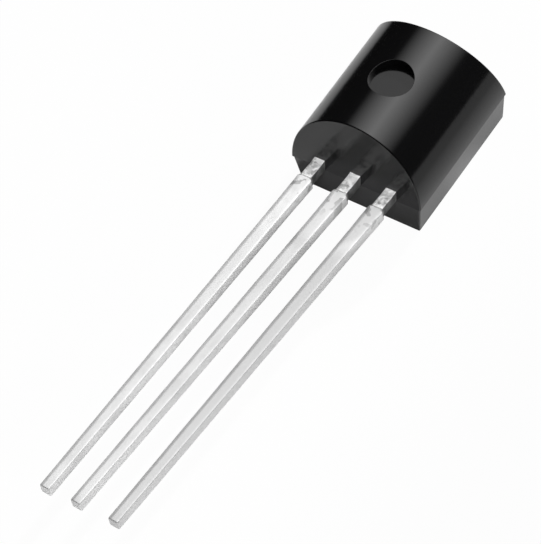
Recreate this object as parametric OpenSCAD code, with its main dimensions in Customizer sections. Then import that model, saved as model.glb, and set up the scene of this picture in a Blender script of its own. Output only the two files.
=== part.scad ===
// Three-lead moulded temperature sensor, lying on its flat side.
//
// Millimetres. X runs along the row of leads, +Y runs up the body away from
// the leads, and +Z rises from the flat side to the round back. The origin is
// the centre of the flat side.
//
// The body is moulded in one shot round a flat stamped lead frame, so every
// inner piece lies in a cavity of exactly its own shape.

/* [Moulded body] */
// Diameter of the round back
body_d = 4.6; // [4.4:0.1:5.2]
// Height of the body along its leads, at the parting plane
body_h = 5.0; // [4.4:0.1:5.4]
// Depth from the flat side to the parting plane
flat_depth = 1.2; // [0.9:0.05:1.4]
// Draft of both ends of the round back, in degrees
end_draft = 10; // [3:1:12]
// Draft of both sides next to the flat, in degrees
side_draft = 8; // [3:1:15]
// Draft of both ends next to the flat, in degrees
flat_end_draft = 1; // [0.5:0.5:5]
// Ledge at the parting line, where the flat half is the smaller
mould_step = 0.03; // [0.01:0.01:0.05]

/* [Ejector mark] */
// Diameter of the round mark on the back
mark_d = 1.4; // [0.8:0.1:1.7]
// Depth of the mark's flat floor below the crown of the back
mark_depth = 0.3; // [0.15:0.05:0.6]

/* [Leads] */
// Spacing of the leads where they leave the body
lead_pitch = 1.27; // [1.2:0.01:1.4]
// Length of a lead from the body to its tip
lead_len = 13.6; // [10:0.1:16]
// Thickness of the lead frame strip
lead_t = 0.38; // [0.3:0.01:0.43]
// Width of a lead's neck
neck_w = 0.38; // [0.3:0.01:0.42]
// Length of the neck, from the body to the shoulder
neck_len = 0.65; // [0.4:0.05:1.2]
// Width of a lead at its shoulder
shoulder_w = 0.53; // [0.48:0.01:0.56]
// Length over which the shoulder narrows to the blade
shoulder_len = 1.2; // [0.6:0.1:2]
// Width of the blade where the shoulder ends
blade_w = 0.5; // [0.4:0.01:0.52]
// Width of the blade at its tip
tip_w = 0.36; // [0.34:0.01:0.43]
// Chamfer rolled onto the edges of the shoulder, blade and tip
edge_roll = 0.06; // [0.02:0.01:0.08]
// Lean of the left lead towards -X, in degrees
lean_left = 3.2; // [2:0.1:5.5]
// Lean of the middle lead towards -X, in degrees
lean_middle = 4.0; // [2:0.1:5.5]
// Lean of the right lead towards -X, in degrees
lean_right = 3.8; // [2:0.1:5.5]
// Distance outside the body at which a lead starts to lean
bend_out = 0.15; // [0.1:0.05:0.3]

/* [Lead frame inside the body] */
// Width of the bond posts of the two outer leads
post_w = 0.9; // [0.7:0.05:1.1]
// Height of the bond posts
post_h = 0.7; // [0.5:0.05:0.9]
// Depth of the bond posts behind the end of the body
post_inset = 0.6; // [0.4:0.05:0.8]
// Gap between the bond posts and the die paddle
frame_gap = 0.3; // [0.2:0.05:0.4]
// Width of the die paddle on the middle lead
paddle_w = 1.9; // [1.6:0.1:2.4]
// Epoxy left between the die paddle and the top end of the body
top_wall = 0.9; // [0.6:0.05:1.1]

/* [Die and bond wires] */
// Width of the die
die_w = 1.2; // [0.9:0.05:1.4]
// Height of the die
die_h = 1.1; // [0.8:0.05:1.3]
// Thickness of the die
die_t = 0.28; // [0.2:0.02:0.36]
// Thickness of the adhesive under the die
attach_t = 0.03; // [0.02:0.01:0.05]
// Width of the adhesive that shows round the die
attach_rim = 0.05; // [0.03:0.01:0.08]
// Diameter of a bond wire
wire_d = 0.05; // [0.04:0.005:0.06]
// Rise of a bond wire's loop above the straight line between its ends
loop_h = 0.35; // [0.25:0.05:0.5]
// Diameter of the ball that joins a wire to the die
ball_d = 0.11; // [0.1:0.01:0.13]
// Thickness of the ball, and of the stitch at the wire's other end
ball_t = 0.04; // [0.03:0.005:0.05]
// Distance of the bond pads from the edges of the die
pad_inset = 0.15; // [0.12:0.01:0.2]
// Distance of the middle wire's stitch from the paddle's lower edge
stitch_inset = 0.25; // [0.15:0.05:0.3]

/* [Hidden] */

$fn = 96;

// Heights of the layers above the flat side
crown_z = flat_depth + body_d / 2;
strip_z = flat_depth;
strip_top = strip_z + lead_t;
die_z = strip_top + attach_t;
die_top = die_z + die_t;

// Places along the body
seat_y = -body_h / 2;
top_y = body_h / 2;
bend_y = seat_y - bend_out;
post_y = seat_y + post_inset;
paddle_y = post_y + post_h + frame_gap;
paddle_h = top_y - top_wall - paddle_y;
die_y = paddle_y + paddle_h / 2;

// Size of the flat half of the body at the parting plane
flat_half_w = body_d - 2 * mould_step;
flat_half_h = body_h - 2 * mould_step;

// Ends of the bond wires
pad_x = die_w / 2 - pad_inset;
pad_y = die_y - die_h / 2 + pad_inset;
wire_start_z = die_top + ball_t / 2;
wire_end_z = strip_top + wire_d / 2;

// Sides and steps of a bond wire's tube, and how early its loop peaks
WIRE_SIDES = 8;
WIRE_STEPS = 14;
LOOP_SKEW = 0.6;

BLACK_EPOXY = [0.09, 0.09, 0.10];
TINNED = [0.82, 0.83, 0.84];
SILVER_PASTE = [0.62, 0.62, 0.60];
SILICON = [0.36, 0.39, 0.46];
GOLD = [0.90, 0.72, 0.25];

// ---------------------------------------------------------------- moulded body

// Extrudes a profile drawn in Y and Z over a width along X
module across(width) {
    translate([-width / 2, 0, 0])
        rotate([90, 0, 90])
            linear_extrude(width)
                children();
}

// Extrudes a profile drawn in X and Z over a length along Y
module along(length) {
    translate([0, length / 2, 0])
        rotate([90, 0, 0])
            linear_extrude(length)
                children();
}

// Trapezium standing on its base, narrower by the draft at its far edge
module drafted(base, depth, draft) {
    inset = abs(depth) * tan(draft);
    polygon([
        [-base / 2, 0],
        [base / 2, 0],
        [base / 2 - inset, depth],
        [-base / 2 + inset, depth]
    ]);
}

// Half cylinder above the parting plane, with both ends drafted
module round_half() {
    translate([0, 0, flat_depth])
        intersection() {
            rotate([-90, 0, 0])
                cylinder(d = body_d, h = body_h, center = true);
            across(body_d)
                drafted(body_h, body_d / 2, end_draft);
        }
}

// Drafted block between the parting plane and the flat side
module flat_half() {
    translate([0, 0, flat_depth])
        intersection() {
            along(flat_half_h)
                drafted(flat_half_w, -flat_depth, side_draft);
            across(flat_half_w)
                drafted(flat_half_h, -flat_depth, flat_end_draft);
        }
}

module ejector_mark() {
    translate([0, 0, crown_z - mark_depth])
        cylinder(d = mark_d, h = 2 * mark_depth);
}

module package_body() {
    color(BLACK_EPOXY)
        difference() {
            union() {
                round_half();
                flat_half();
            }
            ejector_mark();
            stamped_strip() {
                outer_lead_outline(-lead_pitch, lean_left);
                middle_lead_outline();
                outer_lead_outline(lead_pitch, lean_right);
            }
            adhesive_layer();
            die_block();
            outer_wire(-1);
            middle_wire();
            outer_wire(1);
        }
}

// ---------------------------------------------------------------------- leads

// Lifts outlines to the strip's level and gives them its thickness
module stamped_strip() {
    translate([0, 0, strip_z])
        linear_extrude(lead_t)
            children();
}

// Direction along a leaning lead, and the one to its right
function lead_dir(lean) = [-sin(lean), -cos(lean)];
function lead_side(lean) = [cos(lean), -sin(lean)];

// Straight strip from inside the body to the bend, then the leaning neck.
// The two stretches meet on a mitre. x is the lead's place in the row.
module stem_outline(x, inner_y, lean) {
    half = neck_w / 2;
    mitre = half * tan(lean / 2);
    neck_end = lead_dir(lean) * (neck_len - bend_out + edge_roll);
    translate([x, bend_y])
        polygon([
            [-half, inner_y - bend_y],
            [-half, mitre],
            neck_end - lead_side(lean) * half,
            neck_end + lead_side(lean) * half,
            [half, -mitre],
            [half, inner_y - bend_y]
        ]);
}

module outer_lead_outline(x, lean) {
    stem_outline(x, post_y + post_h / 2, lean);
    translate([x - post_w / 2, post_y])
        square([post_w, post_h]);
}

module middle_lead_outline() {
    stem_outline(0, paddle_y + paddle_h / 2, lean_middle);
    translate([-paddle_w / 2, paddle_y])
        square([paddle_w, paddle_h]);
}

// Corners of a lead's cross-section at the distance "out" from the bend: a
// rectangle with its edges rolled over
function bar_section(out, width, depth) =
    let (w = width / 2, d = depth / 2, r = edge_roll)
    [for (p = [[r - w, d], [-w, d - r], [-w, r - d], [r - w, -d],
               [w - r, -d], [w, r - d], [w, d - r], [w - r, d]])
        [p[0], -out, p[1]]];

// Skins a list of equal rings into one closed solid. The rings run
// clockwise as seen looking along the way they are listed.
module skin(rings) {
    sides = len(rings[0]);
    last = len(rings) - 1;
    faces = concat(
        [[for (k = [0:sides - 1]) k]],
        [for (i = [0:last - 1], k = [0:sides - 1])
            let (a = i * sides + k, b = i * sides + (k + 1) % sides)
            each [[a, a + sides, b + sides], [a, b + sides, b]]],
        [[for (k = [sides - 1:-1:0]) last * sides + k]]
    );
    polyhedron([for (ring = rings) each ring], faces);
}

// Shoulder and blade of a lead, along -Y from the bend at the origin
module lead_blade() {
    shoulder = neck_len - bend_out;
    narrowed = shoulder + shoulder_len;
    tip = lead_len - bend_out;
    r = edge_roll;
    skin([
        bar_section(shoulder, shoulder_w - 2 * r, lead_t - 2 * r),
        bar_section(shoulder + r, shoulder_w, lead_t),
        bar_section(narrowed, blade_w, lead_t),
        bar_section(tip - r, tip_w, lead_t),
        bar_section(tip, tip_w - 2 * r, lead_t - 2 * r)
    ]);
}

module placed_blade(x, lean) {
    translate([x, bend_y, strip_z + lead_t / 2])
        rotate([0, 0, -lean])
            lead_blade();
}

module lead_left() {
    color(TINNED) {
        stamped_strip()
            outer_lead_outline(-lead_pitch, lean_left);
        placed_blade(-lead_pitch, lean_left);
    }
}

module lead_middle() {
    color(TINNED) {
        stamped_strip()
            middle_lead_outline();
        placed_blade(0, lean_middle);
    }
}

module lead_right() {
    color(TINNED) {
        stamped_strip()
            outer_lead_outline(lead_pitch, lean_right);
        placed_blade(lead_pitch, lean_right);
    }
}

// ------------------------------------------------------------------------ die

// Box standing on z, centred on the die
module on_paddle(width, height, z, thickness) {
    translate([-width / 2, die_y - height / 2, z])
        cube([width, height, thickness]);
}

module adhesive_layer() {
    on_paddle(die_w + 2 * attach_rim, die_h + 2 * attach_rim, strip_top, attach_t);
}

module die_block() {
    on_paddle(die_w, die_h, die_z, die_t);
}

module die_attach() {
    color(SILVER_PASTE) adhesive_layer();
}

module sensor_die() {
    color(SILICON) die_block();
}

// ----------------------------------------------------------------- bond wires

// Point of a wire's loop at the share s of the way from a to b
function loop_point(a, b, s) =
    a + (b - a) * s + [0, 0, loop_h * sin(180 * pow(s, LOOP_SKEW))];

function unit(v) = v / norm(v);

// Ring of the wire's tube at the share s
function loop_ring(a, b, s) =
    let (
        ds = 0.5 / WIRE_STEPS,
        from = loop_point(a, b, max(s - ds, 0)),
        to = loop_point(a, b, min(s + ds, 1)),
        side = unit(cross([0, 0, 1], b - a)),
        rise = cross(unit(to - from), side)
    )
    [for (k = [0:WIRE_SIDES - 1])
        let (turn = 360 * k / WIRE_SIDES)
        loop_point(a, b, s) + (side * cos(turn) + rise * sin(turn)) * wire_d / 2];

// Wire from the pad at a on the die to b on the lead frame, with its ball
// and its stitch
module wire_between(a, b) {
    start = [a[0], a[1], wire_start_z];
    end = [b[0], b[1], wire_end_z];
    skin([for (i = [0:WIRE_STEPS]) loop_ring(start, end, i / WIRE_STEPS)]);
    translate([a[0], a[1], die_top])
        cylinder(d = ball_d, h = ball_t);
    translate([b[0], b[1], strip_top])
        cylinder(d = ball_d, h = ball_t);
}

// side is -1 for the left lead and 1 for the right lead
module outer_wire(side) {
    wire_between([side * pad_x, pad_y], [side * lead_pitch, post_y + post_h / 2]);
}

module middle_wire() {
    wire_between([0, pad_y], [0, paddle_y + stitch_inset]);
}

module bond_wire_left() {
    color(GOLD) outer_wire(-1);
}

module bond_wire_middle() {
    color(GOLD) middle_wire();
}

module bond_wire_right() {
    color(GOLD) outer_wire(1);
}

package_body();
lead_left();
lead_middle();
lead_right();
die_attach();
sensor_die();
bond_wire_left();
bond_wire_middle();
bond_wire_right();
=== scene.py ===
"""Three-lead moulded temperature sensor, lying on its flat side on a white table."""

import math

import bmesh
import bpy
from mathutils import Matrix, Vector


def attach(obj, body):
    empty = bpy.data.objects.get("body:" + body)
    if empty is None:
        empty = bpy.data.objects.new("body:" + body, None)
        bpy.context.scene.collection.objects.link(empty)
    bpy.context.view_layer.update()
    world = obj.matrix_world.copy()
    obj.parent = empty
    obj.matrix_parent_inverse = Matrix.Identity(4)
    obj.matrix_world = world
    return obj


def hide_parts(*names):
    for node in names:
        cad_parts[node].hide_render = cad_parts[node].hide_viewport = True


MM = 0.001

# Moulded body, in millimetres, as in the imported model. Drafts are tangents, except the one in degrees
BODY_R = 2.3
BODY_HALF_H = 2.5
PART_Z = 1.2
SIDE_DRAFT_DEG = 8
SIDE_DRAFT = math.tan(math.radians(SIDE_DRAFT_DEG))
END_DRAFT = math.tan(math.radians(10))
FLAT_END_DRAFT = math.tan(math.radians(1))
LEDGE = 0.03

# Ejector mark on the back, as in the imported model
MARK_R = 0.7
MARK_DEPTH = 0.3
MARK_FLOOR_Z = PART_Z + BODY_R - MARK_DEPTH

# Rounding of the rims of the body and of its mark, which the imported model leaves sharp
EDGE_R = 0.04
MARK_EDGE_R = 0.01

# Body's mesh: half the side of the square patch round the mark, then the steps of the back beside it, of the
# patch's sides, from them in to the mark, and round a rim
MARK_FIELD = 0.9
BACK_STEPS = 36
FIELD_STEPS = 16
MARK_STEPS = 6
RIM_STEPS = 4

# Leads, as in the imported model
LEAD_T = 0.38
LEAD_MID_Z = PART_Z + LEAD_T / 2
LEAD_PITCH = 1.27
LEAD_LEN = 13.6
BEND_OUT = 0.15
NECK_W = 0.38
NECK_LEN = 0.65
SHOULDER_W = 0.53
SHOULDER_LEN = 1.2
BLADE_W = 0.5
TIP_W = 0.36
SHOULDER_Y = -BODY_HALF_H - NECK_LEN

# Where each lead leaves the body, and its lean to the left in degrees
LEANS = {
    "lead_left": (-LEAD_PITCH, 3.2),
    "lead_middle": (0.0, 4.0),
    "lead_right": (LEAD_PITCH, 3.8),
}

# Ends of the leads inside the body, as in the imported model: bond posts and the die paddle
POST_W = 0.9
POST_H = 0.7
POST_INSET = 0.6
FRAME_GAP = 0.3
PADDLE_W = 1.9
TOP_WALL = 0.9
POST_Y = -BODY_HALF_H + POST_INSET
PADDLE_Y = POST_Y + POST_H + FRAME_GAP

# Width, lowest y and highest y of each end
INNER_ENDS = {
    "lead_left": (POST_W, POST_Y, POST_Y + POST_H),
    "lead_middle": (PADDLE_W, PADDLE_Y, BODY_HALF_H - TOP_WALL),
    "lead_right": (POST_W, POST_Y, POST_Y + POST_H),
}

# Lengths along a lead, from the end of its neck: slope of its shoulder, start of its taper, and the stretch
# in which wear sets in
SHOULDER_RISE = 0.12
TAPER_START = 0.3
WORN_START, WORN_END = 0.02, 0.3

# Rounding of a lead's lower edges and tip, how far its tip face stays short, and the length of its bend
FOOT_R = 0.03
TIP_R = 0.04
TIP_GAP = 0.0015
BEND_LEN = 0.05

# Top edges of a lead as new, and what wear adds to the right rounding, the left bevel and the crown
NEW_EDGE = 0.02
WORN_RIGHT = 0.015
WORN_BEVEL_W = 0.075
WORN_BEVEL_H = 0.004
WORN_CROWN = 0.002

# Size of the bevel's soft ends, and how far under the bevel the left side starts and ends its turn into it
BEVEL_END = 0.008
TURN_START, TURN_END = 0.03, 0.01

# Waves in a worn blade: how much narrower and thinner they make it, and both waves in radians a millimetre
WAVE_W = 0.008
WAVE_T = 0.006
WAVE_SHORT, WAVE_LONG = 2.1, 0.9

# Steps of a lead's mesh across its top and round a corner
TOP_STEPS = 6
CORNER_STEPS = 4


# ------------------------------------------------------------------ mesh tools


class Shell:
    """Faces in millimetres. Equal corners are welded, and an edge between two groups is sharp."""

    def __init__(self):
        self.points, self.found, self.faces, self.groups = [], {}, [], []

    def corner(self, point):
        key = tuple(round(c, 4) for c in point)
        if key not in self.found:
            self.found[key] = len(self.points)
            self.points.append(tuple(c * MM for c in point))
        return self.found[key]

    def face(self, group, points):
        ring = []
        for p in points:
            i = self.corner(p)
            if i not in ring:
                ring.append(i)
        if len(ring) > 2:
            self.faces.append(ring)
            self.groups.append(group)

    def grid(self, group, rows):
        for a, b in zip(rows, rows[1:]):
            for i in range(len(a) - 1):
                self.face(group, [a[i], a[i + 1], b[i + 1], b[i]])

    def build(self, name):
        mesh = bpy.data.meshes.new(name)
        mesh.from_pydata(self.points, [], self.faces)
        names = sorted(set(self.groups))
        bm = bmesh.new()
        bm.from_mesh(mesh)
        layer = bm.faces.layers.int.new("group")
        for face, group in zip(bm.faces, self.groups):
            face[layer] = names.index(group)
            face.smooth = True
        bmesh.ops.recalc_face_normals(bm, faces=bm.faces)
        for edge in bm.edges:
            kinds = {face[layer] for face in edge.link_faces}
            edge.smooth = len(kinds) == 1
        bm.to_mesh(mesh)
        bm.free()
        piece = bpy.data.objects.new(name, mesh)
        bpy.context.scene.collection.objects.link(piece)
        return piece


# ---------------------------------------------------------------- moulded body


def end_y(z, upper):
    """Distance of the body's end faces from its middle at the height z, above or below the parting line."""
    if upper:
        return BODY_HALF_H - max(z - PART_Z, 0.0) * END_DRAFT
    return BODY_HALF_H - LEDGE - max(PART_Z - z, 0.0) * FLAT_END_DRAFT


def back_columns():
    """Round back from right to left: x, z, the way inwards, and the group of the strip that follows."""
    field = math.degrees(math.asin(MARK_FIELD / BODY_R))
    beside = [field + (90 - field) * i / BACK_STEPS for i in range(BACK_STEPS, 0, -1)]
    across = [field - 2 * field * i / FIELD_STEPS for i in range(FIELD_STEPS + 1)]
    columns = []
    for turn in beside + across + [-t for t in reversed(beside)]:
        a = math.radians(turn)
        s, c = math.sin(a), math.cos(a)
        columns.append((BODY_R * s, PART_Z + BODY_R * c, -s, -c, "barrel"))
    columns[-1] = columns[-1][:4] + ("ledge_left",)
    return columns


def flat_columns():
    """Flat half in the same form: its right side from the foot up, and its left side from the top down."""
    side_x = BODY_R - LEDGE
    foot_x = side_x - PART_Z * SIDE_DRAFT
    centre_x = foot_x + EDGE_R * SIDE_DRAFT - EDGE_R / math.cos(math.radians(SIDE_DRAFT_DEG))
    half = []
    for i in range(RIM_STEPS + 1):
        a = math.radians(-90 + (90 - SIDE_DRAFT_DEG) * i / RIM_STEPS)
        c, s = math.cos(a), math.sin(a)
        half.append((centre_x + EDGE_R * c, EDGE_R + EDGE_R * s, -c, -s))
    half.append((side_x, PART_Z, -math.cos(math.radians(SIDE_DRAFT_DEG)), 0.0))
    mirrored = [(-x, z, -nx, nz) for x, z, nx, nz in reversed(half)]
    right_groups = ["foot_right"] * RIM_STEPS + ["side_right", "ledge_right"]
    left_groups = ["side_left"] + ["foot_left"] * RIM_STEPS + ["flat"]
    right = [p + (group,) for p, group in zip(half, right_groups)]
    left = [p + (group,) for p, group in zip(mirrored, left_groups)]
    return right, left


def column_rows(x, z, nx, nz, upper):
    """One column's points in three stretches: the lead end's rim, the side and the top end's rim."""

    def rim(sign):
        points = []
        for k in range(RIM_STEPS + 1):
            a = math.pi / 2 * k / RIM_STEPS
            inset = EDGE_R * (1 - math.cos(a))
            px, pz = x + nx * inset, z + nz * inset
            points.append((px, sign * (end_y(pz, upper) - EDGE_R * (1 - math.sin(a))), pz))
        return points

    side = [(x, -MARK_FIELD + 2 * MARK_FIELD * i / FIELD_STEPS, z) for i in range(FIELD_STEPS + 1)]
    return list(reversed(rim(-1))), side, rim(1)


def barrel_z(x):
    """Height of the round back at x."""
    return PART_Z + math.sqrt(BODY_R**2 - x**2)


def mark_ray(x, y):
    """From a point of the patch's edge inwards: the back's surface, the mark's rim and its wall."""
    a = math.atan2(y, x)
    c, s = math.cos(a), math.sin(a)
    outer = MARK_R + MARK_EDGE_R
    surface = []
    for k in range(MARK_STEPS + 1):
        t = k / MARK_STEPS
        px, py = x + (outer * c - x) * t, y + (outer * s - y) * t
        surface.append((px, py, barrel_z(px)))
    rim_z = barrel_z(outer * c)
    rim = []
    for k in range(RIM_STEPS + 1):
        turn = math.pi / 2 * k / RIM_STEPS
        d = outer - MARK_EDGE_R * math.sin(turn)
        rim.append((d * c, d * s, rim_z - MARK_EDGE_R * (1 - math.cos(turn))))
    return surface, rim, [rim[-1], (MARK_R * c, MARK_R * s, MARK_FLOOR_Z)]


def ejector_mark(shell, loop):
    """Fills the square loop in the back with the round mark."""
    rays = [mark_ray(x, y) for x, y, _ in loop]
    rays.append(rays[0])
    for part, group in enumerate(("barrel", "mark_rim", "mark_wall")):
        shell.grid(group, [ray[part] for ray in rays])
    shell.face("mark_floor", [ray[2][-1] for ray in rays])


def end_caps(shell, made, lower, upper):
    """Closes both ends: the round back's face, the flat half's, and the step between them."""
    for end, pick in ((0, 0), (2, -1)):
        rim = [column[end][pick] for column in made]
        top, bottom = rim[lower : lower + upper], rim[lower + upper :] + rim[:lower]
        shell.face(f"cap_{end}_top", top)
        shell.face(f"cap_{end}_bottom", bottom)
        shell.face(f"cap_{end}_ledge", [top[0], top[-1], bottom[0], bottom[-1]])


def in_field(column):
    """True for a column of the back's square patch round the mark, with the patch's two sides."""
    return abs(column[0]) < MARK_FIELD + 1e-6


def epoxy_body():
    """Moulded body, with draft, step, rounded rims and the ejector mark."""
    right, left = flat_columns()
    back = back_columns()
    columns = right + back + left
    lower, upper = len(right), len(back)
    made = [column_rows(*c[:4], lower <= i < lower + upper) for i, c in enumerate(columns)]
    shell = Shell()
    for i, column in enumerate(columns):
        group = column[4]
        after = (i + 1) % len(columns)
        (a0, am, a1), (b0, bm, b1) = made[i], made[after]
        shell.grid("rim_low_" + group, [a0, b0])
        shell.grid("rim_top_" + group, [a1, b1])
        shell.grid(group, [[a0[-1], am[0]], [b0[-1], bm[0]]])
        shell.grid(group, [[am[-1], a1[0]], [bm[-1], b1[0]]])
        if not (group == "barrel" and in_field(column) and in_field(columns[after])):
            shell.grid(group, [am, bm])
    end_caps(shell, made, lower, upper)

    field = [rows[1] for rows, c in zip(made, columns) if c[4] == "barrel" and in_field(c)]
    loop = [row[0] for row in field] + field[-1][1:] + [row[-1] for row in reversed(field[:-1])]
    loop += list(reversed(field[0][1:-1]))
    ejector_mark(shell, loop)
    return shell.build("epoxy_body")


# ----------------------------------------------------------------------- leads


def smooth(low, high, v):
    """Rises smoothly from 0 at low to 1 at high."""
    t = min(max((v - low) / (high - low), 0.0), 1.0)
    return t * t * (3 - 2 * t)


def lead_width(out):
    """Width of a lead at the distance out from the body."""
    if out < NECK_LEN:
        return NECK_W
    shoulder = NECK_W + (SHOULDER_W - NECK_W) * smooth(NECK_LEN, NECK_LEN + SHOULDER_RISE, out)
    narrowed = NECK_LEN + SHOULDER_LEN
    if out < narrowed:
        return shoulder + (BLADE_W - SHOULDER_W) * smooth(NECK_LEN + TAPER_START, narrowed, out)
    return BLADE_W + (TIP_W - BLADE_W) * (out - narrowed) / (LEAD_LEN - narrowed)


def quarter_turn(cx, cz, radius, start, first=0):
    """Points of a rounded corner, clockwise from the angle start."""
    turns = [math.radians(start - 90 * k / CORNER_STEPS) for k in range(first, CORNER_STEPS + 1)]
    return [(cx + radius * math.cos(a), cz + radius * math.sin(a)) for a in turns]


def lead_section(width, thick, worn):
    """Cross-section of a lead as x and z pairs. Worn, its left edge is bevelled and its top crowned."""
    w, h = width / 2, thick / 2
    right = NEW_EDGE + WORN_RIGHT * worn
    bevel_w, bevel_h = NEW_EDGE + WORN_BEVEL_W * worn, NEW_EDGE + WORN_BEVEL_H * worn
    top_w = width - bevel_w - right
    points = [(bevel_w - w + top_w * k / TOP_STEPS, h) for k in range(TOP_STEPS + 1)]
    points += quarter_turn(w - right, h - right, right, 90, 1)
    points += quarter_turn(w - FOOT_R, FOOT_R - h, FOOT_R, 0)
    points += quarter_turn(FOOT_R - w, FOOT_R - h, FOOT_R, -90)
    points += [(-w, h - bevel_h - TURN_START), (BEVEL_END - w, h - bevel_h - TURN_END)]
    for k in (0.05, 0.5, 0.95):
        across = BEVEL_END - w + (bevel_w - 2 * BEVEL_END) * k
        points.append((across, h - BEVEL_END / 2 - (bevel_h - BEVEL_END / 2) * (1 - k)))
    crown = WORN_CROWN * worn
    return [(x, z - (crown * (x / w) ** 2 if z > 0 else 0.0)) for x, z in points]


def inner_end(shell, x, width, low, high):
    """Flat bond post or die paddle of a lead, inside the body."""
    z0, z1 = LEAD_MID_Z - LEAD_T / 2, LEAD_MID_Z + LEAD_T / 2
    x0, x1 = x - width / 2, x + width / 2
    ring = [(x0, low), (x1, low), (x1, high), (x0, high)]
    bottom = [(px, py, z0) for px, py in ring]
    top = [(px, py, z1) for px, py in ring]
    shell.face("plate_bottom", bottom)
    shell.face("plate_top", top)
    for i in range(4):
        j = (i + 1) % 4
        shell.face(f"plate_side_{i}", [bottom[i], bottom[j], top[j], top[i]])


def lead_stations(start):
    """Distances out from the body of a lead's cross-sections, close together at shoulder and tip."""
    outs = [start, -0.1, 0.0, 0.05, 0.1, 0.15, 0.2, 0.3, 0.4, 0.5, 0.6, 0.64]
    outs += [NECK_LEN + 0.01 * i for i in range(15)]
    outs += [NECK_LEN + 0.2 + 0.1 * i for i in range(11)]
    outs += [NECK_LEN + SHOULDER_LEN + 0.2 + 0.2 * i for i in range(56)]
    outs = sorted({round(out, 4) for out in outs if out < LEAD_LEN - 0.05})
    return outs + [LEAD_LEN - short for short in (TIP_R, 0.025, 0.012, 0.004, TIP_GAP)]


def lead_thickness(out, phase):
    """Width and thickness of a lead at the distance out, with waves and rounded tip, and its wear."""
    worn = smooth(NECK_LEN + WORN_START, NECK_LEN + WORN_END, out)
    wave = 0.5 + 0.5 * math.sin(out * WAVE_SHORT + phase) * math.cos(out * WAVE_LONG + 2 * phase)
    cut = max(0.0, TIP_R - (LEAD_LEN - out))
    shrink = TIP_R - math.sqrt(max(TIP_R**2 - cut**2, 0.0))
    width = lead_width(out) - WAVE_W * wave * worn - 2 * shrink
    return width, LEAD_T - WAVE_T * wave * worn - 2 * shrink, worn


def lead_middle_line(x, lean, out):
    """Middle of a lead at the distance out from the body, and the way to its right side."""
    bent = out - BEND_OUT
    if bent <= 0:
        return (x, -BODY_HALF_H - out), (1.0, 0.0)
    centre = (x - math.sin(lean) * bent, -BODY_HALF_H - BEND_OUT - math.cos(lean) * bent)
    turn = lean * min(1.0, bent / BEND_LEN + 0.5)
    return centre, (math.cos(turn), -math.sin(turn))


def tin_lead(name, x, lean, phase, plate):
    """One lead with its inner end. The phase sets its waves apart from those of the others."""
    shell = Shell()
    inner_end(shell, x, *plate)
    rings = []
    for out in lead_stations(-BODY_HALF_H - plate[1]):
        width, thick, worn = lead_thickness(out, phase)
        (cx, cy), (rx, ry) = lead_middle_line(x, math.radians(lean), out)
        section = lead_section(width, thick, worn)
        ring = [(cx + rx * px, cy + ry * px, LEAD_MID_Z + pz) for px, pz in section]
        rings.append(ring + ring[:1])
    shell.grid("skin", rings)
    shell.face("inner_end", rings[0][:-1])
    shell.face("tip", rings[-1][:-1])
    return shell.build(name)


# ------------------------------------------------------------------- materials


class Nodes:
    """A short way to write the nodes of a material or world. An input's value may also be a socket."""

    def __init__(self, owner):
        self.owner = owner
        owner.use_nodes = True
        self.tree = owner.node_tree
        self.tree.nodes.clear()

    def fill(self, socket, value):
        if isinstance(value, bpy.types.NodeSocket):
            self.tree.links.new(value, socket)
        else:
            socket.default_value = value

    def add(self, kind, settings=(), **inputs):
        """Inputs are named as on the node, with _ for a space, or i0, i1 and so on by their place."""
        node = self.tree.nodes.new("ShaderNode" + kind)
        for key, value in dict(settings).items():
            setattr(node, key, value)
        for key, value in inputs.items():
            by_place = key[0] == "i" and key[1:].isdigit()
            self.fill(node.inputs[int(key[1:]) if by_place else key.replace("_", " ")], value)
        return node

    def millimetres(self, scale=(1, 1, 1)):
        """The piece's own coordinates, in millimetres times scale."""
        place = self.add("TexCoord").outputs["Object"]
        factors = [s / MM for s in scale]
        return self.add("VectorMath", {"operation": "MULTIPLY"}, i0=place, i1=factors).outputs[0]

    def noise(self, vector, scale, detail=2.0, rough=0.5):
        node = self.add("TexNoise", Vector=vector, Scale=scale, Detail=detail, Roughness=rough)
        return node.outputs["Fac"]

    def remap(self, value, low, high, to_low, to_high):
        node = self.add("MapRange", i0=value, i1=low, i2=high, i3=to_low, i4=to_high)
        return node.outputs[0]

    def math(self, operation, a, b=0.0, c=0.0):
        return self.add("Math", {"operation": operation}, i0=a, i1=b, i2=c).outputs[0]

    def mix(self, factor, a, b):
        return self.add("Mix", {"data_type": "RGBA"}, i0=factor, i6=a, i7=b).outputs[2]

    def finish(self, shader):
        self.add("OutputMaterial", Surface=shader.outputs[0])
        return self.owner


def material(name):
    """Nodes of a new material."""
    return Nodes(bpy.data.materials.new(name))


def grey(value, tint=0.0):
    """A grey, bluer with a tint above 0."""
    return (value, value, value * (1 + tint), 1.0)


def moulded_epoxy():
    """Black moulding compound: fine satin grain, faint flow streaks and specks of filler."""
    n = material("moulded_epoxy")
    place = n.millimetres()
    grain = n.noise(place, 14, 2)
    flow = n.noise(n.millimetres((1.6, 0.25, 1.6)), 1.0, 3)
    specks = n.remap(n.noise(place, 60, 1), 0.7, 0.76, 0, 1)
    colour = n.mix(flow, grey(0.004, 0.06), grey(0.006, 0.04))
    colour = n.mix(n.math("MULTIPLY", specks, 0.15), colour, grey(0.02))
    flow_rough = n.remap(flow, 0.3, 0.7, 0.11, 0.14)
    rough = n.math("ADD", flow_rough, n.remap(grain, 0.3, 0.7, -0.01, 0.015))
    bump = n.add("Bump", Height=grain, Distance=0.0000012, Strength=0.35)
    shader = n.add("BsdfPrincipled", Base_Color=colour, Roughness=rough, IOR=1.6, Normal=bump.outputs[0])
    return n.finish(shader)


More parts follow.
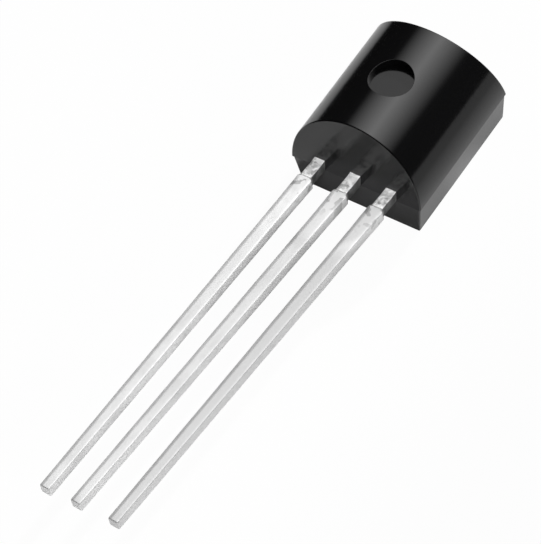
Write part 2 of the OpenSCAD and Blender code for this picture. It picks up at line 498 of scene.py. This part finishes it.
def blade_tin(n, x, streaks):
    """Colour of the blades: bright streaks, duller patches, and all of it darker towards the right lead."""
    patches = n.remap(n.noise(n.millimetres((2.4, 0.9, 2.4)), 1.0, 4, 0.6), 0.46, 0.66, 0, 1)
    bright = n.mix(patches, n.mix(streaks, grey(0.92), grey(0.99)), grey(0.84))
    return n.mix(n.remap(x, -0.9, 1.1, 0, 1), bright, grey(0.74))


def stained(n, colour, place, y, mottle):
    """Adds stains next to the shoulder, a wavy dark line of painted shade at its step and small specks all
    over.
    """
    blots = n.remap(n.noise(place, 3.2, 2), 0.57, 0.62, 0, 1)
    near_shoulder = n.remap(y, SHOULDER_Y - 1.2, SHOULDER_Y - 0.2, 0, 1)
    stains = n.math("MULTIPLY", blots, near_shoulder)
    # Wavy dark line just on the neck's side of the shoulder: painted shade at the step
    wavy = n.math("ADD", y, n.math("MULTIPLY", mottle, 0.12))
    painted_step_shade = n.math("COMPARE", wavy, SHOULDER_Y + 0.03, 0.02)
    specks = n.remap(n.noise(place, 13, 2), 0.73, 0.77, 0, 1)
    for spots, strength, shade in ((stains, 0.6, 0.2), (painted_step_shade, 0.6, 0.1), (specks, 0.5, 0.4)):
        colour = n.mix(n.math("MULTIPLY", spots, strength), colour, grey(shade))
    return colour


def tinned_lead():
    """Tin: bright streaked blades, and dull mottled necks with painted shade on their sides and a light band
    at the exit, a painted highlight that also stands for tin flash.
    """
    n = material("tinned_lead")
    place = n.millimetres()
    x, y, _ = n.add("SeparateXYZ", Vector=place).outputs
    normal = n.add("SeparateXYZ", Vector=n.add("TexCoord").outputs["Normal"])
    streaks = n.noise(n.millimetres((9, 0.5, 9)), 1.0, 4, 0.6)
    mottle = n.noise(place, 5, 3, 0.6)
    neck = n.remap(y, SHOULDER_Y - 0.04, SHOULDER_Y + 0.02, 0, 1)
    # Light band where the neck leaves the body: a painted highlight along that edge, which also stands for
    # tin flash
    exit_flash_and_highlight = n.remap(y, -BODY_HALF_H - 0.07, -BODY_HALF_H - 0.04, 0, 1)
    dull = n.mix(n.remap(mottle, 0.42, 0.6, 0, 1), grey(0.98), grey(0.6))
    colour = n.mix(neck, blade_tin(n, x, streaks), dull)
    colour = n.mix(exit_flash_and_highlight, colour, grey(0.98))
    colour = stained(n, colour, place, y, mottle)
    # The necks' side faces are darkened towards black by their normal: painted shade
    painted_side_shade = n.remap(n.math("ABSOLUTE", normal.outputs[0]), 0.5, 0.8, 0, 0.85)
    colour = n.mix(n.math("MULTIPLY", neck, painted_side_shade), colour, grey(0.03))
    metal = n.remap(y, SHOULDER_Y - 3.0, SHOULDER_Y - 0.5, 0.35, 0.45)
    rough = n.remap(mottle, 0.3, 0.7, 0.34, 0.42)
    dents = n.math("MULTIPLY", n.noise(place, 5.5, 2), n.math("MULTIPLY", neck, 22))
    height = n.math("ADD", n.math("ADD", streaks, mottle), dents)
    bump = n.add("Bump", Height=height, Distance=0.000002, Strength=0.6).outputs[0]
    shader = n.add("BsdfPrincipled", Base_Color=colour, Roughness=rough, Metallic=metal, Normal=bump)
    return n.finish(shader)


def die_adhesive():
    """Matt grey adhesive with fine silver flakes."""
    n = material("die_adhesive")
    flakes = n.noise(n.millimetres(), 30, 3)
    colour = n.mix(flakes, grey(0.35), grey(0.55))
    shader = n.add("BsdfPrincipled", Base_Color=colour, Roughness=n.remap(flakes, 0.3, 0.7, 0.5, 0.7))
    return n.finish(shader)


def silicon():
    """Polished blue-grey silicon with a fine pattern of cells."""
    n = material("silicon")
    cells = n.add("TexVoronoi", Vector=n.millimetres(), Scale=14.0).outputs["Distance"]
    colour = n.mix(cells, (0.09, 0.10, 0.13, 1), (0.17, 0.19, 0.24, 1))
    shader = n.add("BsdfPrincipled", Base_Color=colour, Roughness=n.remap(cells, 0, 0.6, 0.15, 0.3))
    return n.finish(shader)


def gold_wire():
    """Drawn gold."""
    n = material("gold_wire")
    draw = n.noise(n.millimetres(), 40, 2)
    colour = n.mix(draw, (0.86, 0.60, 0.22, 1), (0.95, 0.72, 0.32, 1))
    rough = n.remap(draw, 0.3, 0.7, 0.18, 0.3)
    shader = n.add("BsdfPrincipled", Base_Color=colour, Metallic=1.0, Roughness=rough)
    return n.finish(shader)


# ----------------------------------------------------------------- the setting

# Share of the table that is plain white to the eye, and strength of the fill light
TABLE_GLOW = 0.97
FILL = 0.25

# Table: half its side, its height, and its paper, which darkens to the right of the sensor as a painted
# falloff of the light
TABLE_HALF = 900
TABLE_Z = -0.01
PAPER, PAPER_PAINTED_SHADE = 0.9, 0.45
PAINTED_SHADE_FROM, PAINTED_SHADE_TO = 3, 8

# Black cloth: its middle, how far from there it fades in, its height, and the tent that it runs up into
CLOTH_X, CLOTH_Y = 20, -6.7
CLOTH_INNER, CLOTH_OUTER = 26, 60
CLOTH_Z = -0.005
TENT_R = 800
TENT_H = 900

# Soft box: turn and half spread across the body in degrees, rise towards the body's top end, distance, half
# its length, brightness and falloff
BOX_TURN = 1
BOX_SPREAD = 38.5
BOX_RISE = math.asin(0.433)
BOX_AWAY = 600
BOX_HALF_L = 720
BOX_GLOW = 2.5
BOX_FALL = 1.25

# Lamps: the way to each of them, its size and its power, and the distance of both
KEY_LAMP = ((0.2, 1.75, 1.0), 50, 5.0)
SIDE_LAMP = ((1.0, -0.25, 0.36), 200, 1.4)
LAMP_AWAY = 700

# Narrow low spot on the leads where the body would shade them. Its cone, in degrees, is stretched sideways
SPOT_WAY = (0.14, -0.9, 0.42)
SPOT_AWAY = 107
SPOT_AIM = (-0.1, -3.55, 1.6)
SPOT_DEG = 1
SPOT_BLEND = 0.8
SPOT_STRETCH = 3.6
SPOT_SIZE = 0.1
SPOT_WATTS = 0.75

# Camera: degrees round the sensor, over the table and of roll, and its aim, distance, lens and film width
CAMERA_AZIMUTH = 43.39
CAMERA_ELEVATION = 53.43
CAMERA_ROLL = 12.93
CAMERA_AIM = (-0.41, -6.554, 1.39)
CAMERA_AWAY = 116.18
CAMERA_LENS = 259.72
CAMERA_SENSOR = 36


def flat_sheet(name, half_w, half_l, z):
    """Level rectangle with its middle over the origin, at the height z."""
    shell = Shell()
    ring = [(-half_w, -half_l), (half_w, -half_l), (half_w, half_l), (-half_w, half_l)]
    shell.face("top", [(x, y, z) for x, y in ring])
    return shell.build(name)


def only_mirrored(piece):
    """The piece shows in reflections, and neither the eye nor any shadow knows of it."""
    piece.visible_camera = piece.visible_diffuse = piece.visible_shadow = False


def table_top():
    """White table: nearly plain white to the eye, but lit and shadowed paper in reflections."""
    n = material("white_table")
    seen = n.math("MULTIPLY", n.add("LightPath").outputs["Is Camera Ray"], TABLE_GLOW)
    x = n.add("SeparateXYZ", Vector=n.millimetres()).outputs[0]
    # Paper brighter next to the sensor and darker to its right: a painted pool of light, seen in reflections
    painted_shade_aside = n.remap(x, PAINTED_SHADE_FROM, PAINTED_SHADE_TO, 0, 1)
    paper = n.add("BsdfDiffuse", Color=n.mix(painted_shade_aside, grey(PAPER), grey(PAPER_PAINTED_SHADE)))
    white = n.add("Emission", Color=grey(1.0), Strength=1.0)
    shader = n.add("MixShader", i0=seen, i1=paper.outputs[0], i2=white.outputs[0])
    table = flat_sheet("table_top", TABLE_HALF, TABLE_HALF, TABLE_Z)
    table.data.materials.append(n.finish(shader))


def black_tent():
    """Black cloth all round and overhead. Only reflections see it, in place of the white room."""
    shell = Shell()
    sides = 64
    turns = [2 * math.pi * i / sides for i in range(sides + 1)]
    profile = [(CLOTH_INNER, CLOTH_Z), (TENT_R, CLOTH_Z), (TENT_R, TENT_H)]
    rows = [[(r * math.cos(t), r * math.sin(t), z) for t in turns] for r, z in profile]
    shell.grid("cloth", rows)
    shell.face("roof", rows[-1][:-1])
    tent = shell.build("black_tent")
    tent.location = Vector((CLOTH_X, CLOTH_Y, 0)) * MM
    n = material("black_cloth")
    away = n.add("VectorMath", {"operation": "LENGTH"}, i0=n.millimetres()).outputs["Value"]
    soft = {"interpolation_type": "SMOOTHSTEP"}
    fade = n.add("MapRange", soft, i0=away, i1=CLOTH_INNER, i2=CLOTH_OUTER)
    clear = n.add("BsdfTransparent")
    black = n.add("BsdfDiffuse", Color=grey(0.008))
    shader = n.add("MixShader", i0=fade.outputs[0], i1=clear.outputs[0], i2=black.outputs[0])
    tent.data.materials.append(n.finish(shader))
    only_mirrored(tent)


def room_light():
    """White background and a soft plain fill. Reflections would have the white too, but the tent hides it."""
    world = bpy.data.worlds.new("room")
    bpy.context.scene.world = world
    n = Nodes(world)
    ray = n.add("LightPath").outputs
    mirrored = n.math("MAXIMUM", ray["Is Glossy Ray"], ray["Is Transmission Ray"])
    seen = n.math("MAXIMUM", ray["Is Camera Ray"], mirrored)
    fill = n.add("Background", Color=grey(1.0), Strength=FILL)
    white = n.add("Background", Color=grey(1.0), Strength=1.0)
    shader = n.add("MixShader", i0=seen, i1=fill.outputs[0], i2=white.outputs[0])
    n.add("OutputWorld", Surface=shader.outputs[0])


def soft_box():
    """Long soft box over the sensor, brightest along its middle line, which runs with the leads."""
    across, along = math.radians(BOX_TURN), BOX_RISE
    flat = math.cos(along)
    toward = Vector((math.sin(across) * flat, math.sin(along), math.cos(across) * flat))
    half_w = BOX_AWAY * math.tan(math.radians(BOX_SPREAD))
    box = flat_sheet("soft_box", half_w, BOX_HALF_L, 0)
    box.location = toward * BOX_AWAY * MM
    box.rotation_mode = "QUATERNION"
    box.rotation_quaternion = toward.to_track_quat("Z", "Y")
    n = material("soft_box")
    x = n.math("ABSOLUTE", n.add("SeparateXYZ", Vector=n.millimetres()).outputs[0])
    fade = n.math("POWER", n.remap(x, 0, half_w, 1, 0), BOX_FALL)
    glow = n.math("MULTIPLY", fade, BOX_GLOW)
    box.data.materials.append(n.finish(n.add("Emission", Color=grey(1.0), Strength=glow)))
    box.visible_camera = box.visible_diffuse = False


def aimed_light(light, aim, toward, away):
    """Places a light on the way toward, at the distance away from aim, and turns it to aim."""
    piece = bpy.data.objects.new(light.name, light)
    bpy.context.scene.collection.objects.link(piece)
    toward = Vector(toward).normalized()
    piece.location = (Vector(aim) + toward * away) * MM
    piece.rotation_mode = "QUATERNION"
    piece.rotation_quaternion = toward.to_track_quat("Z", "Y")
    piece.visible_glossy = False
    return piece


def lamp(name, toward, size, watts):
    """Round lamp that no reflection shows."""
    light = bpy.data.lights.new(name, "AREA")
    light.shape = "DISK"
    light.size = size * MM
    light.energy = watts
    aimed_light(light, (0, 0, 0), toward, LAMP_AWAY)


def spot_lamp():
    """Narrow spot, low in front of the body's lead end. No reflection shows it."""
    light = bpy.data.lights.new("spot_lamp", "SPOT")
    light.spot_size = math.radians(SPOT_DEG)
    light.spot_blend = SPOT_BLEND
    light.shadow_soft_size = SPOT_SIZE * MM
    light.energy = SPOT_WATTS
    piece = aimed_light(light, SPOT_AIM, SPOT_WAY, SPOT_AWAY)
    piece.scale = (SPOT_STRETCH, 1, 1)


def camera():
    """Looks down the leads from the lower right, rolled so that the sensor points to the upper right."""
    azimuth, elevation = math.radians(CAMERA_AZIMUTH), math.radians(CAMERA_ELEVATION)
    roll = math.radians(CAMERA_ROLL)
    target, distance = Vector(CAMERA_AIM) * MM, CAMERA_AWAY * MM
    flat = math.cos(elevation)
    back = Vector((math.sin(azimuth) * flat, -math.cos(azimuth) * flat, math.sin(elevation)))
    level_right = Vector((0, 0, 1)).cross(back).normalized()
    level_up = back.cross(level_right)
    up = level_up * math.cos(roll) + level_right * math.sin(roll)
    right = up.cross(back)
    data = bpy.data.cameras.new("camera")
    data.sensor_width = CAMERA_SENSOR
    data.lens = CAMERA_LENS
    data.clip_start = 0.005
    data.clip_end = 10
    eye = bpy.data.objects.new("camera", data)
    bpy.context.scene.collection.objects.link(eye)
    turn = Matrix((right, up, back)).transposed().to_4x4()
    eye.matrix_world = Matrix.Translation(target + back * distance) @ turn
    bpy.context.scene.camera = eye


# -------------------------------------------------------------------- assembly

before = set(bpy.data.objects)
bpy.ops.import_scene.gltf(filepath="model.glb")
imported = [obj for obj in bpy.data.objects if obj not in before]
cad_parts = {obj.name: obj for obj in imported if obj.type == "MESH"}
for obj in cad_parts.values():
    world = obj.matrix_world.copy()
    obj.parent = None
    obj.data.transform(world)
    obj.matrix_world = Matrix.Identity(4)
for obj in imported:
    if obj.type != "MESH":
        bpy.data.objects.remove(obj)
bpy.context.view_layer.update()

camera()
room_light()
table_top()
black_tent()
soft_box()
lamp("key_lamp", *KEY_LAMP)
lamp("side_lamp", *SIDE_LAMP)
spot_lamp()

body = epoxy_body()
body.data.materials.append(moulded_epoxy())
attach(body, "root")
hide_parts("package_body")

tin = tinned_lead()
for phase, (node, (x, lean)) in enumerate(LEANS.items()):
    lead = tin_lead("tin_" + node, x, lean, phase, INNER_ENDS[node])
    lead.data.materials.append(tin)
    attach(lead, "root")
    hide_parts(node)

adhesive = die_adhesive()
die = silicon()
gold = gold_wire()
inner_materials = {
    "die_attach": adhesive,
    "sensor_die": die,
    "bond_wire_left": gold,
    "bond_wire_middle": gold,
    "bond_wire_right": gold,
}
for node, inner_material in inner_materials.items():
    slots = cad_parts[node].data.materials
    slots.clear()
    slots.append(inner_material)

bpy.context.scene.view_settings.view_transform = "Standard"
